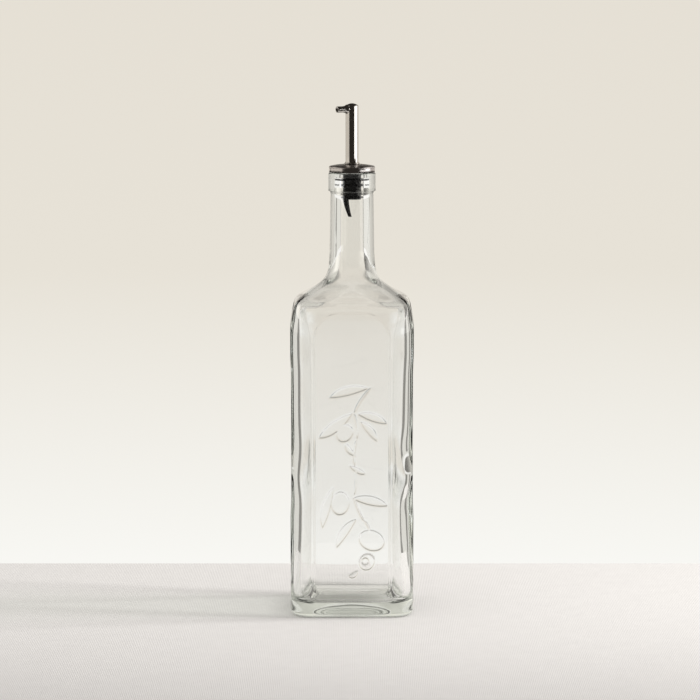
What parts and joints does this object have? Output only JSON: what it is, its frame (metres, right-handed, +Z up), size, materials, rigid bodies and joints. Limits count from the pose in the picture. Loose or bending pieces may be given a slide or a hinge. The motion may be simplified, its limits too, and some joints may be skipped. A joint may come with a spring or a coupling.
{
  "type": "glass oil cruet",
  "caption": "Tall square clear glass oil bottle with a raised olive sprig in an arched panel, and a steel pourer with a side nozzle on a ribbed black stopper in its neck.",
  "frame": {"origin": "on the table, in the middle of the bottle's footprint and under its axis", "axes": "+Z up along the bottle's axis; the embossed front faces -Y; the pourer's side nozzle points to -X, turned 30 degrees towards the front"},
  "size_m": [0.078, 0.078, 0.3238],
  "materials": {
    "clear_glass": "clear pressed soda-lime glass with a faint green tint where it is thick",
    "brushed_steel": "satin, turned",
    "polished_steel": "bright polished stainless steel",
    "black_plastic": "soft moulded black plastic"
  },
  "bodies": {
    "root": {"bottle_glass": "clear_glass", "pourer_cap": "brushed_steel", "pourer_spout": "polished_steel", "pourer_stopper": "black_plastic"}
  },
  "joints": []
}
